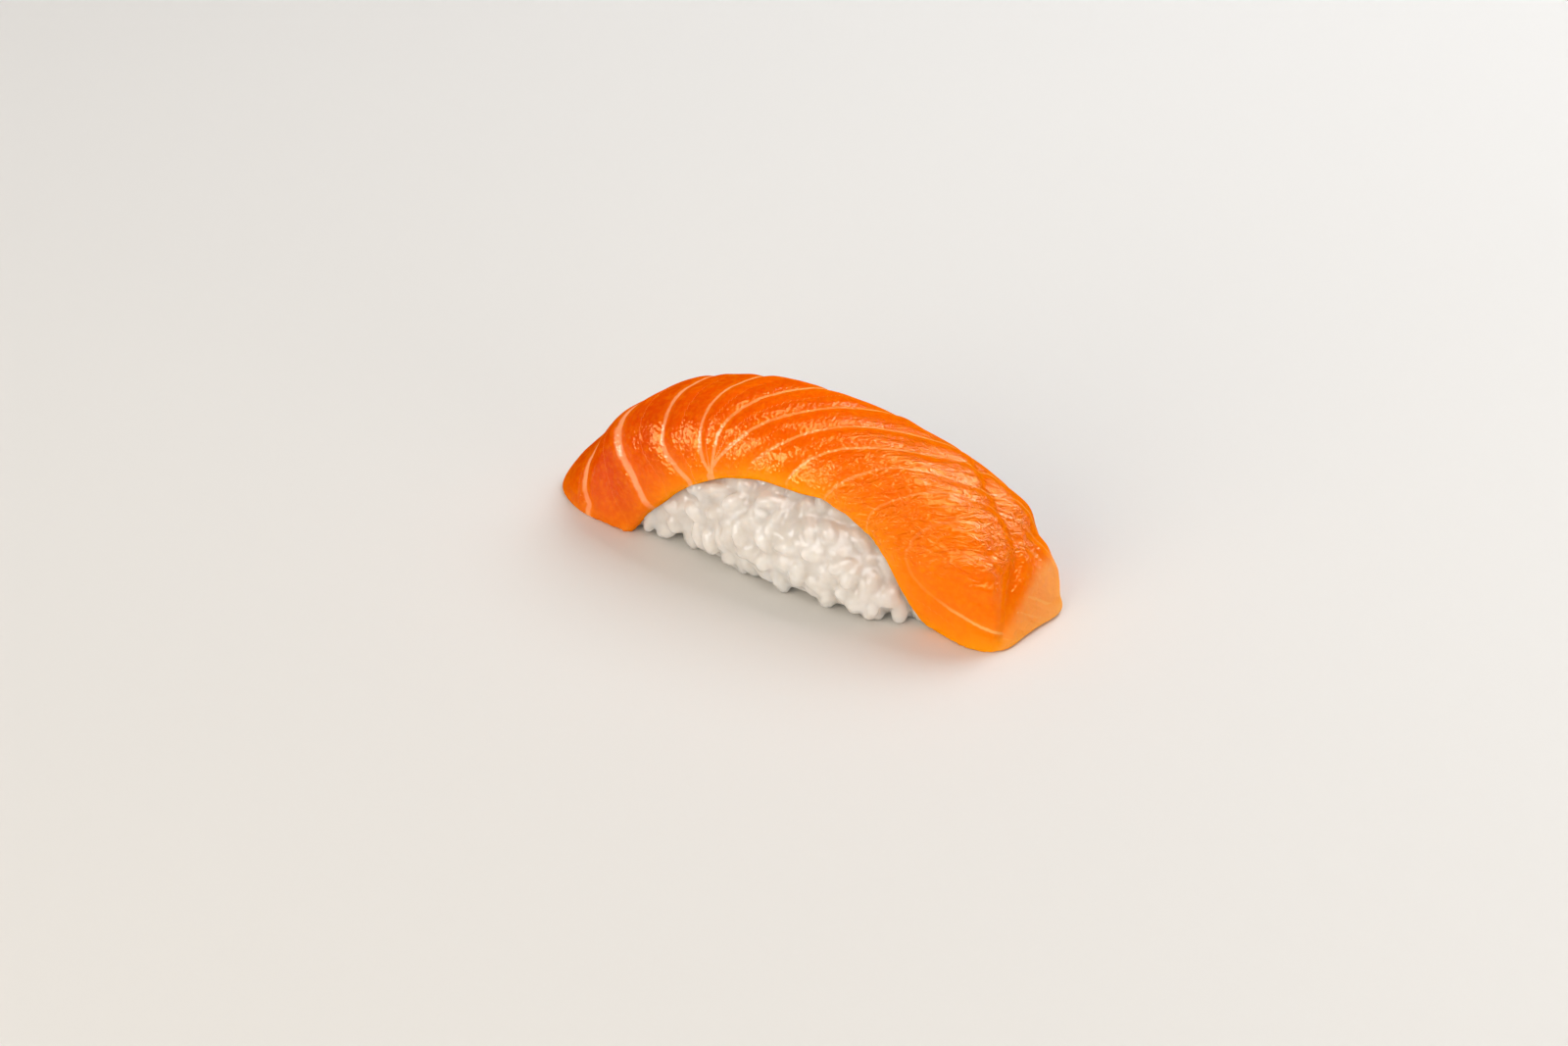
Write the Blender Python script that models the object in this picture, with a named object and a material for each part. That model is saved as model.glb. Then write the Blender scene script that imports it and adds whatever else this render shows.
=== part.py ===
"""Salmon nigiri: a hand-pressed loaf of sushi rice under one thick slice of raw salmon.

The slice is draped lengthwise. It covers the crown and both ends of the loaf and comes down to
the table there, and its two long edges arch up, so that the rice shows between the feet of each
arch. X runs along the loaf to the blunt end, -Y is the front, +Z is up and Z = 0 is the table.

One family of draped surfaces makes both pieces. A direction round the loaf (turn) and a way
down from the crown to the table (fall, 0 to 1) give a point of the fish's skin, and an inset
pulls that point in: the inside of the slice and the rice are the same surface with more inset.
"""

import bmesh
import bpy
import numpy as np
from mathutils import Vector, noise

# ---- Driving dimensions, in metres ----------------------------------------------------------
CROWN_HEIGHT = 0.0284  # table to the top of the fish
CROWN_X = -0.0045  # the crown stands a little toward the thin end
THIN_REACH = 0.0404  # crown to the thin end, before its flare
BLUNT_REACH = 0.0474  # crown to the blunt end
FRONT_REACH = 0.0148  # centre line to the front side, at the table
BACK_REACH = 0.0140
SLICE_THICKNESS = 0.0052  # middle of the slice
SLICE_EDGE = 0.0026  # along its cut edges
EDGE_TAPER = 0.0060  # distance over which the slice thins toward an edge
THIN_FLARE = 0.0024  # how far the thin end spreads on the table
LOBE_FLARE = 0.0018  # how far the blunt end's rounded lobe spreads
TIP_FLARE = 0.0030  # how far the front blunt corner points out
FOLD_DEPTH = 0.0016  # the fold beside that corner
HOLLOW_DEPTH = 0.0010  # the dip above the lobe

# ---- The arch that each long edge of the slice follows --------------------------------------
ARCH_HEIGHT = 0.0183
ARCH_X = 0.0015
ARCH_HALF_THIN = 0.0298  # arch centre to its foot at the thin end
ARCH_HALF_BLUNT = 0.0270
ARCH_POWER_THIN = 2.6  # 2 is an ellipse and higher is squarer
ARCH_POWER_BLUNT = 3.0

# ---- The rice --------------------------------------------------------------------------------
CLEARANCE = 0.0005  # between the rice and the slice
RICE_SPREAD = 0.0030  # how far bare rice bulges past the line of the slice
RICE_HOLLOW = 0.0040  # how far it stays behind that line at the feet of the arch
SPREAD_FROM_THIN = (-0.033, 0.002)  # where along X hollow turns into spread
SPREAD_FROM_BLUNT = (0.032, 0.023)
BULGE_START = 0.0008  # the bare rice leaves the slice's line this far below the arch
BULGE_END = 0.0075  # and is fully out by this far
FOOT_HEIGHT = 0.0025  # the rice's rounded lower edge
FOOT_TUCK = 0.0016
LUMP_HEIGHT = 0.0009  # grains standing out of the bare rice
LUMP_SIZE = 0.0048

# ---- How round the draped surface is ---------------------------------------------------------
# Corner powers set the plan: 2 is an ellipse and higher is squarer.
CORNER_POWERS = {"front_blunt": 4.6, "back_blunt": 3.0, "back_thin": 2.2, "front_thin": 2.7}
# Wall powers set the side view: 1 is an ellipse, lower is boxier, higher is a longer slope.
FRONT_WALL, BACK_WALL, THIN_WALL, BLUNT_WALL = 0.72, 0.88, 1.20, 0.80

# ---- Mesh fineness ---------------------------------------------------------------------------
SLICE_CELLS = (56, 24)
CELL_CROWDING = 0.3  # how much the slice's cells crowd toward its ends
RICE_CELLS = (80, 36)


def mix(first, second, share):
    return first + (second - first) * share


def ease(value, low, high):
    share = np.clip((value - low) / (high - low), 0, 1)
    return share * share * (3 - 2 * share)


def bump(value, centre, width):
    return np.exp(-(((value - centre) / width) ** 2))


def corner_power(turn):
    """The plan's squareness in each direction, blended between the four corners."""
    blunt = ease(np.cos(turn), -0.35, 0.35)
    back = ease(np.sin(turn), -0.35, 0.35)
    thin_side = mix(CORNER_POWERS["front_thin"], CORNER_POWERS["back_thin"], back)
    blunt_side = mix(CORNER_POWERS["front_blunt"], CORNER_POWERS["back_blunt"], back)
    return mix(thin_side, blunt_side, blunt)


def wall_power(turn):
    blunt = ease(np.cos(turn), -0.6, 0.6)
    back = ease(np.sin(turn), -0.6, 0.6)
    return mix(mix(FRONT_WALL, BACK_WALL, back), mix(THIN_WALL, BLUNT_WALL, blunt), np.cos(turn) ** 2)


def folds(fall, turn):
    """What the slice adds to the plain draped shape: its flares, its fold and its dip."""
    angle = np.degrees(turn)
    thin = THIN_FLARE * ease(-np.cos(turn), 0.2, 1.0) * ease(fall, 0.72, 1.0)
    lobe = LOBE_FLARE * bump(angle, 12, 22) * ease(fall, 0.84, 1.0)
    tip = TIP_FLARE * bump(angle, -46, 13) * ease(fall, 0.60, 1.0)
    fold = -FOLD_DEPTH * bump(angle, -29, 8) * ease(fall, 0.52, 0.74) * (1 - 0.8 * ease(fall, 0.85, 1.0))
    hollow = -HOLLOW_DEPTH * bump(angle, 14, 16) * bump(fall, 0.74, 0.09)
    return thin + lobe + tip + fold + hollow


def drape(fall, turn, inset=0.0):
    """The point at this fall and turn on the draped surface, pulled in by inset."""
    power = corner_power(turn)
    cosine, sine = np.cos(turn), np.sin(turn)
    square = (np.abs(cosine) ** power + np.abs(sine) ** power) ** (-1 / power)
    reach_x = np.where(cosine > 0, BLUNT_REACH, THIN_REACH) - inset
    reach_y = np.where(sine > 0, BACK_REACH, FRONT_REACH) - inset
    quarter = fall * np.pi / 2
    out = np.sin(quarter) ** wall_power(turn)
    up = np.clip(np.cos(quarter), 0, 1) ** wall_power(turn)
    extra = folds(fall, turn)
    x = CROWN_X + (reach_x * square * out + extra) * cosine
    y = (reach_y * square * out + 0.6 * extra) * sine
    return np.stack([x, y, (CROWN_HEIGHT - inset) * up], axis=-1)


def above_arch(fall, turn):
    """Distance from the arch that the slice's long edge follows: above 0 is under the fish."""
    point = drape(fall, turn)
    x, z = point[..., 0], point[..., 2]
    half = np.where(x > ARCH_X, ARCH_HALF_BLUNT, ARCH_HALF_THIN)
    power = np.where(x > ARCH_X, ARCH_POWER_BLUNT, ARCH_POWER_THIN)
    way = np.abs(x - ARCH_X) / half
    height = ARCH_HEIGHT * (1 - way**power)
    slope = ARCH_HEIGHT * power * way ** (power - 1) / half
    return (z - height) / np.hypot(1, slope)


def slice_thickness(fall, turn):
    """The slice is full in the middle and thin along its arched edges and on the table."""
    from_arch = ease(above_arch(fall, turn), 0, EDGE_TAPER)
    from_table = ease(drape(fall, turn)[..., 2], 0, EDGE_TAPER)
    return mix(SLICE_EDGE, SLICE_THICKNESS, from_arch * from_table)


def sheet_to_drape(along, across):
    """A square sheet, -1 to 1 each way, laid over the loaf: its fall and turn."""
    along_disc = along * np.sqrt(1 - across**2 / 2)
    across_disc = across * np.sqrt(1 - along**2 / 2)
    return np.clip(np.hypot(along_disc, across_disc), 0, 1), np.arctan2(across_disc, along_disc)


def edge_of_sheet(along, side):
    """How far across the sheet the arch cuts it, found by halving."""
    near, far = np.zeros_like(along), np.ones_like(along)
    for _ in range(30):
        middle = (near + far) / 2
        kept = above_arch(*sheet_to_drape(along, side * middle)) > 0
        near, far = np.where(kept, middle, near), np.where(kept, far, middle)
    return near


def slice_points(square):
    """Outer and inner points of the slice, from points of a square sheet."""
    along = square[:, 0] * (1 + CELL_CROWDING * (1 - square[:, 0] ** 2))
    across = square[:, 1]
    reach = np.where(across < 0, edge_of_sheet(along, -1), edge_of_sheet(along, 1))
    reach = np.where(np.abs(along) > 0.9999, 1.0, reach)
    fall, turn = sheet_to_drape(along, across * reach)
    return drape(fall, turn), drape(fall, turn, slice_thickness(fall, turn))


def rice_points(ball):
    """Points of the loaf, from points of a ball's upper half."""
    fall = np.degrees(np.arccos(np.clip(ball[:, 2], -1, 1))) / 90
    turn = np.arctan2(ball[:, 1], ball[:, 0])
    over_edge = above_arch(fall, turn)
    under_fish = slice_thickness(fall, turn) + CLEARANCE
    x = drape(fall, turn)[:, 0]
    spread = ease(x, *SPREAD_FROM_THIN) * ease(x, *SPREAD_FROM_BLUNT)
    bare_inset = mix(RICE_HOLLOW, -RICE_SPREAD, spread)
    inset = mix(under_fish, bare_inset, ease(-over_edge, BULGE_START, BULGE_END))
    skin = drape(fall, turn, inset)
    lumps = np.array([noise.noise(Vector(point) / LUMP_SIZE) for point in skin])
    tuck = FOOT_TUCK * np.clip(1 - skin[:, 2] / FOOT_HEIGHT, 0, 1) ** 2
    return drape(fall, turn, inset + tuck - LUMP_HEIGHT * lumps * ease(-over_edge, 0.001, 0.005))


def finish(mesh_data, name, colour, roughness, subsurface):
    """Turn a bmesh into a named, smooth-shaded object with its own material."""
    bmesh.ops.recalc_face_normals(mesh_data, faces=mesh_data.faces)
    mesh = bpy.data.meshes.new(name)
    mesh_data.to_mesh(mesh)
    mesh_data.free()
    mesh.shade_smooth()
    mesh.set_sharp_from_angle(angle=np.radians(50))
    material = bpy.data.materials.new(name)
    material.use_nodes = True
    shader = material.node_tree.nodes["Principled BSDF"]
    shader.inputs["Base Color"].default_value = (*colour, 1)
    shader.inputs["Roughness"].default_value = roughness
    shader.inputs["Metallic"].default_value = 0.0
    shader.inputs["Subsurface Weight"].default_value = subsurface
    mesh.materials.append(material)
    item = bpy.data.objects.new(name, mesh)
    bpy.context.scene.collection.objects.link(item)
    return item


def make_salmon():
    """The slice: a sheet, a copy of it further in, and a rim that joins the two."""
    shape = bmesh.new()
    bmesh.ops.create_grid(shape, x_segments=SLICE_CELLS[0], y_segments=SLICE_CELLS[1], size=1)
    shape.verts.ensure_lookup_table()
    outer = list(shape.verts)
    rim_edges = [edge for edge in shape.edges if edge.is_boundary]
    copied = bmesh.ops.duplicate(shape, geom=shape.verts[:] + shape.edges[:] + shape.faces[:])
    twin = copied["vert_map"]
    for edge in rim_edges:
        start, end = edge.verts
        shape.faces.new((start, end, twin[end], twin[start]))
    outside, inside = slice_points(np.array([vert.co[:] for vert in outer]))
    for vert, out_point, in_point in zip(outer, outside, inside):
        twin[vert].co = in_point
        vert.co = out_point
    return finish(shape, "salmon", colour=(0.93, 0.13, 0.005), roughness=0.3, subsurface=0.4)


def make_rice():
    """The loaf: the upper half of a ball, draped under the slice and closed flat below."""
    shape = bmesh.new()
    bmesh.ops.create_uvsphere(shape, u_segments=RICE_CELLS[0], v_segments=RICE_CELLS[1], radius=1)
    below = [vert for vert in shape.verts if vert.co.z < -0.001]
    bmesh.ops.delete(shape, geom=below, context="VERTS")
    verts = list(shape.verts)
    for vert, point in zip(verts, rice_points(np.array([vert.co[:] for vert in verts]))):
        vert.co = point
    foot = [edge for edge in shape.edges if edge.is_boundary]
    for edge in foot:
        for vert in edge.verts:
            vert.co.z = 0.0
    bmesh.ops.contextual_create(shape, geom=foot)
    return finish(shape, "rice", colour=(0.76, 0.66, 0.55), roughness=0.35, subsurface=0.5)


def centre_on_origin(items):
    """Move the pieces together, so that the origin is under the middle of their box."""
    points = np.array([vert.co[:] for item in items for vert in item.data.vertices])
    middle = (points.min(axis=0) + points.max(axis=0)) / 2
    for item in items:
        for vert in item.data.vertices:
            vert.co.x -= middle[0]
            vert.co.y -= middle[1]
    print("middle of the box before centring, mm:", np.round(middle * 1000, 3))


def main():
    for item in list(bpy.data.objects):
        bpy.data.objects.remove(item)
    centre_on_origin([make_salmon(), make_rice()])


main()
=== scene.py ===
# %% [markdown]
# # Salmon nigiri
# A nigiri is two foods in one bite: a small loaf of sticky rice, pressed in the hand, and one
# slice of raw fish laid over it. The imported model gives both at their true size, as a fixed
# frame. This script only makes the looks: the flesh and fat of the slice, and the grains.

# %% Load the fixed frame
import math

import bmesh
import bpy
import numpy as np
from mathutils import Matrix, Vector, kdtree, noise
from mathutils.bvhtree import BVHTree


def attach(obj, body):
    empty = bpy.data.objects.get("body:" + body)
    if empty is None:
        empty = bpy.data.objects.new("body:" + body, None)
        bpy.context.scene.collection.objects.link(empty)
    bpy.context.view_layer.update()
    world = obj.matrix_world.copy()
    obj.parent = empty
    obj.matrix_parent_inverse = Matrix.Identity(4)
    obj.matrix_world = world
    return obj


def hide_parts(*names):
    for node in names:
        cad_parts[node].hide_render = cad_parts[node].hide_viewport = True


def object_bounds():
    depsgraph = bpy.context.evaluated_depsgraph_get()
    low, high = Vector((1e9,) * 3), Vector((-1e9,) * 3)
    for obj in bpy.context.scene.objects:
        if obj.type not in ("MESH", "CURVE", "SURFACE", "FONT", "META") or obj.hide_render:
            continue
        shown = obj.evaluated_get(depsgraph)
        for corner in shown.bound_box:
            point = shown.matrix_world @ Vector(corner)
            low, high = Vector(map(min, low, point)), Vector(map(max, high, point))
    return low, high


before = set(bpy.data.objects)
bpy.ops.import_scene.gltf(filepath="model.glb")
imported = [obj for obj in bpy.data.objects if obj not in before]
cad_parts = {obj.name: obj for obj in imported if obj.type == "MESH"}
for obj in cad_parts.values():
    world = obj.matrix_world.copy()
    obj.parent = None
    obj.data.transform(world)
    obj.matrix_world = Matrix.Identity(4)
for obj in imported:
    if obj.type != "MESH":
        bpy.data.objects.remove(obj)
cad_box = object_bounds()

MM = 0.001
box_in_mm = [[round(side / MM, 1) for side in corner] for corner in cad_box]
print("frame:", sorted(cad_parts), "box in mm:", box_in_mm)

# %% [markdown]
# An operator works on everything that is selected, and loading the frame leaves its nodes
# selected. So the first helpers make sure that each step selects exactly what it means to change.


# %% Helpers for selecting
def select_only(*pieces):
    bpy.ops.object.select_all(action="DESELECT")
    for piece in pieces:
        piece.select_set(True)
    bpy.context.view_layer.objects.active = pieces[0]


def edit_all(piece):
    select_only(piece)
    bpy.ops.object.mode_set(mode="EDIT")
    bpy.ops.mesh.select_all(action="SELECT")


def leave_edit():
    bpy.ops.object.mode_set(mode="OBJECT")


bpy.ops.object.select_all(action="DESELECT")
print("still selected:", len(bpy.context.selected_objects))

# %% [markdown]
# ## The slice of salmon
# The real slice is cut slanting through the fillet, so it is soft, about 5 mm thick, and its
# edges are rounded rather than sharp. It could be sculpted from nothing, but the frame already
# holds its drape, its two arches and the fold at its blunt end, so a copy of the frame's slice is
# worked on. Such a copy is a heap of loose triangles: its corners are merged and its triangles
# paired into quads before anything is modelled on it.

# %% Copy the slice from the frame
MERGE_GAP = 0.01 * MM
PAIRING_ANGLE = math.radians(70)  # two triangles that bend more than this stay triangles


def copy_of_node(node, name):
    piece = bpy.data.objects.new(name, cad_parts[node].data.copy())
    piece.data.name = name
    piece.data.materials.clear()
    bpy.context.scene.collection.objects.link(piece)
    edit_all(piece)
    bpy.ops.mesh.remove_doubles(threshold=MERGE_GAP)
    bpy.ops.mesh.customdata_custom_splitnormals_clear()
    bpy.ops.mesh.tris_convert_to_quads(face_threshold=PAIRING_ANGLE, shape_threshold=PAIRING_ANGLE)
    leave_edit()
    return piece


def triangles_in(piece):
    return sum(len(face.vertices) - 2 for face in piece.data.polygons)


slice_piece = copy_of_node("salmon", "salmon_slice")
print("slice as copied:", triangles_in(slice_piece), "triangles")

# %% [markdown]
# One smoothing all over rounds the cut edges. Then only the outer side, the side that is seen, is
# divided finely enough to carry flakes and fat lines. Dividing with smoothness puffs each old
# face up a little, and a wet highlight shows that as a quilted look, so the corners are evened
# out a dozen times afterwards.

# %% Round its cut edges
def apply_modifier(piece, kind, **settings):
    select_only(piece)
    modifier = piece.modifiers.new(kind.lower(), kind)
    for key, value in settings.items():
        setattr(modifier, key, value)
    bpy.ops.object.modifier_apply(modifier=modifier.name)


apply_modifier(slice_piece, "SUBSURF", levels=1, render_levels=1)
print("slice after one smoothing:", triangles_in(slice_piece), "triangles")

# %% Divide its outer side
LOAF_HALF = 30 * MM  # half the length of the loaf's inner spine
SPINE_HEIGHT = 4 * MM
UNDERSIDE_NORMAL = -0.7  # a face whose normal points further down than this is underside
SKIN_CUTS = 3
EVENING_ROUNDS = 12


def faces_outward(centre, normal):
    """True on the skin of the slice, false on its underside against the rice."""
    spine_place = Vector((max(-LOAF_HALF, min(LOAF_HALF, centre.x)), 0, SPINE_HEIGHT))
    return normal.dot(centre - spine_place) > 0 and normal.z > UNDERSIDE_NORMAL


edit_all(slice_piece)
bpy.ops.mesh.select_all(action="DESELECT")
shape = bmesh.from_edit_mesh(slice_piece.data)
for face in shape.faces:
    face.select_set(faces_outward(face.calc_center_median(), face.normal))
border = [edge for edge in shape.edges if len({face.select for face in edge.link_faces}) == 2]
rim_points = [((edge.verts[0].co + edge.verts[1].co) / 2).copy() for edge in border]
bmesh.update_edit_mesh(slice_piece.data)
bpy.ops.mesh.subdivide(number_cuts=SKIN_CUTS, smoothness=1.0)
bpy.ops.mesh.vertices_smooth(factor=0.5, repeat=EVENING_ROUNDS)
leave_edit()
print("slice with a fine skin:", triangles_in(slice_piece), "triangles")
print("places on its rim:", len(rim_points))

# %% [markdown]
# The fat lines of a salmon slice are sheets of connective tissue, cut across. At the thin end they run
# straight over the slice; from the middle on they fan out of the front edge and sweep along it. A stripe
# pattern from a texture would be too even, so each line is drawn one by one: the table says where it crosses
# eight level courses of the slice, from the table in front over the crown to the back. Between courses a
# smooth curve joins them.

# %% Where the fat lines run
# Degrees round the slice from its crown: plus is the front, minus the back.
COURSES = np.array([70, 60, 45, 30, 20, 8, -8, -40], float)
# One row per line: its place along the slice at each course and its width, in mm, how pale it is
# over the crown and how pale in front, and the course by which it has changed.
FAT_LINES = [
    ((-35.5, -37.2, -38.1, -38.2, -37.3, -36.0, -34.5, -33.0), 1.3, 0.9, 0.9, 90),
    ((-18.0, -21.5, -25.7, -30.1, -31.1, -30.3, -28.5, -26.0), 1.3, 1.0, 0.0, 62),
    ((-4.0, -6.5, -11.5, -20.7, -22.2, -21.9, -20.5, -17.0), 0.75, 0.9, 0.8, 40),
    ((-1.0, -2.5, -5.6, -13.2, -14.7, -13.9, -11.6, -7.0), 0.65, 0.85, 0.85, 90),
    ((-8.0, -8.5, -9.6, -11.0, -10.6, -6.6, -0.4, 6.0), 0.65, 0.85, 0.95, 40),
    ((-16.0, -15.0, -12.6, -10.0, -5.8, 1.5, 10.5, 19.0), 0.6, 0.75, 0.85, 40),
    ((5.0, 3.0, -1.5, -4.2, 0.7, 9.5, 22.5, 30.0), 0.5, 0.65, 0.0, 31),
    ((9.0, 7.0, 4.5, 3.0, 7.5, 20.0, 30.2, 36.0), 0.45, 0.55, 0.0, 35),
    ((16.0, 14.0, 12.0, 10.5, 16.5, 29.0, 36.5, 40.0), 0.45, 0.42, 0.0, 40),
    ((24.0, 22.0, 19.5, 19.0, 26.0, 34.5, 40.0, 43.0), 0.4, 0.3, 0.0, 48),
    ((47.0, 35.0, 26.3, 28.0, 34.5, 39.5, 43.0, 45.0), 0.55, 0.16, 1.0, 64),
    ((60.0, 52.0, 43.4, 45.0, 45.8, 46.5, 47.0, 48.0), 0.4, 0.15, 0.2, 60),
]
LINE_FADE = 9  # degrees over which it changes


def smooth_curve(wanted, known, values):
    """Values at the wanted places on a smooth curve through the known ones (known rises)."""
    slopes = np.gradient(values, known)
    place = np.clip(np.searchsorted(known, wanted) - 1, 0, len(known) - 2)
    span = known[place + 1] - known[place]
    share = np.clip((wanted - known[place]) / span, 0, 1)
    leaving = (share**3 - 2 * share**2 + share) * span * slopes[place]
    arriving = (share**3 - share**2) * span * slopes[place + 1]
    lead = (2 * share**3 - 3 * share**2 + 1) * values[place] + leaving
    tail = (3 * share**2 - 2 * share**3) * values[place + 1] + arriving
    return lead + tail


def line_places(course):
    """Each fat line's place along the slice, in mm, at these courses: one column per line."""
    rising = COURSES[::-1]
    rows = [smooth_curve(course, rising, np.array(places)[::-1]) for places, *_ in FAT_LINES]
    return np.stack(rows, axis=1)


print(len(FAT_LINES), "fat lines cross the crown, in mm, at", line_places(np.zeros(1))[0].round(1))

# %% [markdown]
# The lines aren't cut into the mesh. Each point of the skin learns how far it is from its nearest
# line instead, and both the shape and the colour are worked out from that distance, so they
# always agree.

# %% Measure each point's distance to its nearest fat line
COURSE_DROP = 2 * MM  # the courses turn round a line this far under the table


def points_of(piece):
    flat = np.empty(len(piece.data.vertices) * 3)
    piece.data.vertices.foreach_get("co", flat)
    return flat.reshape(-1, 3)


def course_of(points):
    return np.degrees(np.arctan2(-points[:, 1], points[:, 2] + COURSE_DROP))


def nearest_line(points):
    """Signed distance to the nearest fat line in mm, and that line's number."""
    course = course_of(points)
    places = line_places(course)
    gaps = points[:, 0][:, None] / MM - places
    number = np.abs(gaps).argmin(axis=1)
    rows = np.arange(len(points))
    slant = line_places(course + 1)[rows, number] - places[rows, number]
    one_degree = np.radians(1) * np.hypot(points[:, 1], points[:, 2] + COURSE_DROP) / MM
    return gaps[rows, number] / np.hypot(1, slant / one_degree), number


skin = points_of(slice_piece)
from_line, line_number = nearest_line(skin)
line_facts = np.array([line[1:] for line in FAT_LINES])[line_number]
line_width, crown_paleness, front_paleness, line_end = line_facts.T
print("points within 0.5 mm of a fat line:", int((np.abs(from_line) < 0.5).sum()))

# %% Add the short lines of the cut end
# The cut end shows the ends of two sheets of fat, as short lines: each one's path in mm.
END_LINES = (
    [(43.6, -4.3, 6.7), (44.2, -2.5, 5.5), (45.0, -0.3, 3.7), (45.3, 3.0, 2.6)],
    [(43.1, -7.2, 5.3), (43.9, -5.3, 4.0), (44.9, -2.2, 1.9)],
)
END_LINE_WIDTH = 0.5  # mm
END_LINE_PALENESS = 0.6
END_LINE_REACH = 1.5  # mm


def distance_to_path(points, path):
    """Distance in mm from each point (in mm) to a path of straight runs."""
    path = np.array(path)
    nearest = np.full(len(points), np.inf)
    for start, end in zip(path[:-1], path[1:]):
        run = end - start
        share = np.clip(((points - start) @ run) / (run @ run), 0, 1)
        gap = np.linalg.norm(points - start - share[:, None] * run, axis=1)
        nearest = np.minimum(nearest, gap)
    return nearest


on_end_line = np.zeros(len(skin), bool)
for path in END_LINES:
    gap = distance_to_path(skin / MM, path)
    nearer = gap < np.minimum(np.abs(from_line), END_LINE_REACH)
    on_end_line |= nearer
    from_line = np.where(nearer, gap, from_line)
    line_width = np.where(nearer, END_LINE_WIDTH, line_width)
    crown_paleness = np.where(nearer, END_LINE_PALENESS, crown_paleness)
    front_paleness = np.where(nearer, END_LINE_PALENESS, front_paleness)
print("points on the short lines:", int(on_end_line.sum()))


# %% Fade each line from its crown paleness to its front paleness
def ease(value, low, high):
    share = np.clip((value - low) / (high - low), 0, 1)
    return share * share * (3 - 2 * share)


in_front = ease(course_of(skin), line_end - LINE_FADE, line_end)
line_paleness = crown_paleness + (front_paleness - crown_paleness) * in_front
print("mean paleness near a line:", round(float(line_paleness[np.abs(from_line) < 0.5].mean()), 2))

# %% [markdown]
# Raw flesh swells a little between its fat lines, and the whole slice is uneven where fingers
# pressed it. Both are real shape, so they go into the mesh and not into a bump: each point will
# move along its own normal. The lines stay in shallow valleys.

# %% Swell the flakes and roughen the slice
FLAKE_SWELL = 0.30 * MM
FLAKE_EDGE = 1.1  # mm over which a flake falls to its fat line
VALLEY_SHARE = 0.7  # how much of the swell goes down at the line, and not up beside it
PRESS_DEPTH = 0.35 * MM
PRESS_SIZE = 11 * MM
DIMPLE_DEPTH = 0.10 * MM
DIMPLE_SIZE = 3.2 * MM


def soft_noise(points, size):
    return np.array([noise.noise(Vector(point) / size) for point in points])


swell = FLAKE_SWELL * (1 - np.exp(-((from_line / FLAKE_EDGE) ** 2)) - VALLEY_SHARE)
press = PRESS_DEPTH * soft_noise(skin, PRESS_SIZE) + DIMPLE_DEPTH * soft_noise(skin, DIMPLE_SIZE)
print("swell and press together, in mm:", round(float(np.ptp(swell + press)) / MM, 2))

# %% [markdown]
# The blunt end is where the slice was folded round the loaf by hand, so it has creases and soft
# knuckles of its own. Each is drawn as a short path over the skin. The skin near the path sinks
# for a crease and rises for a ridge, and the change fades with distance. The widest ones are no
# creases: they round a shoulder or flatten a slope, as a thumb does. The thin end has two of
# those, and one fat line that stands up as a low ridge.

# %% Crease and knuckle the ends
# Depth (minus) or height (plus) in mm, width in mm, and the path's points in mm.
FOLDS = {
    "fold beside the corner": (-0.9, 1.5, [
        (41.0, -4.2, 13.2), (41.4, -5.1, 11.7), (41.6, -7.5, 9.0), (42.7, -10.1, 5.7), (42.8, -11.2, 2.3)]),
    "crease over the shoulder": (-0.8, 1.5, [
        (29.5, 3.8, 23.2), (33.0, 0.6, 21.4), (36.8, -1.6, 18.6), (39.7, -2.8, 15.2)]),
    "ridge behind the crease": (0.4, 1.7, [(37.0, 1.9, 18.4), (38.6, 2.0, 16.2), (41.2, 2.8, 11.9)]),
    "dip above the lobe": (-0.5, 2.4, [
        (38.5, 0.5, 16.5), (39.6, 2.1, 14.7), (40.3, 4.5, 13.5), (40.0, 8.0, 12.0)]),
    "bulge of the lobe": (0.8, 3.0, [(43.2, 1.5, 8.5), (43.5, 4.5, 8.0)]),
    "valley over the knuckle": (-0.55, 1.2, [(30.1, -12.1, 16.6), (34.8, -11.1, 16.0), (38.1, -9.0, 15.1)]),
    "upper knuckle": (0.85, 1.6, [(33.4, -12.4, 14.2), (36.1, -11.7, 14.0), (38.5, -10.2, 13.2)]),
    "lower knuckle": (0.75, 1.3, [(37.6, -12.4, 11.0), (39.7, -11.6, 10.4)]),
    "hollow over the arch": (-0.7, 2.4, [(21.6, -11.3, 20.8), (23.7, -11.7, 19.4), (25.0, -12.4, 17.4)]),
    "flat behind the shoulder": (-0.9, 5.0, [(20.0, 7.0, 24.0), (27.0, 6.5, 22.5), (33.0, 5.0, 20.0)]),
    "round of the shoulder": (0.55, 4.0, [(27.9, 1.6, 23.9), (33.0, 2.1, 21.3), (37.8, 3.6, 17.0)]),
    "low stretch before the shoulder": (-0.45, 5.0, [
        (11.4, 2.1, 27.7), (16.9, 1.8, 27.0), (21.0, 1.6, 26.2)]),
    "round of the thin end": (0.95, 6.0, [(-31.7, -5.4, 17.3), (-27.6, -2.7, 20.5), (-23.7, 0.3, 22.4)]),
    "fat that stands up": (0.40, 0.9, [
        (-31.9, -7.9, 15.3), (-31.1, -9.2, 14.6), (-30.2, -10.1, 13.8), (-29.3, -10.9, 13.0)]),
    "slope of the thin end": (-0.75, 4.5, [(-42.5, -6.5, 4.0), (-41.0, -6.3, 6.3), (-39.5, -5.4, 8.7)]),
}

handled = np.zeros(len(skin))
for height, width, path in FOLDS.values():
    handled += height * MM * np.exp(-((distance_to_path(skin / MM, path) / width) ** 2))
print("folds drawn:", len(FOLDS), "deepest in mm:", round(float(handled.min()) / MM, 2))

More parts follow.
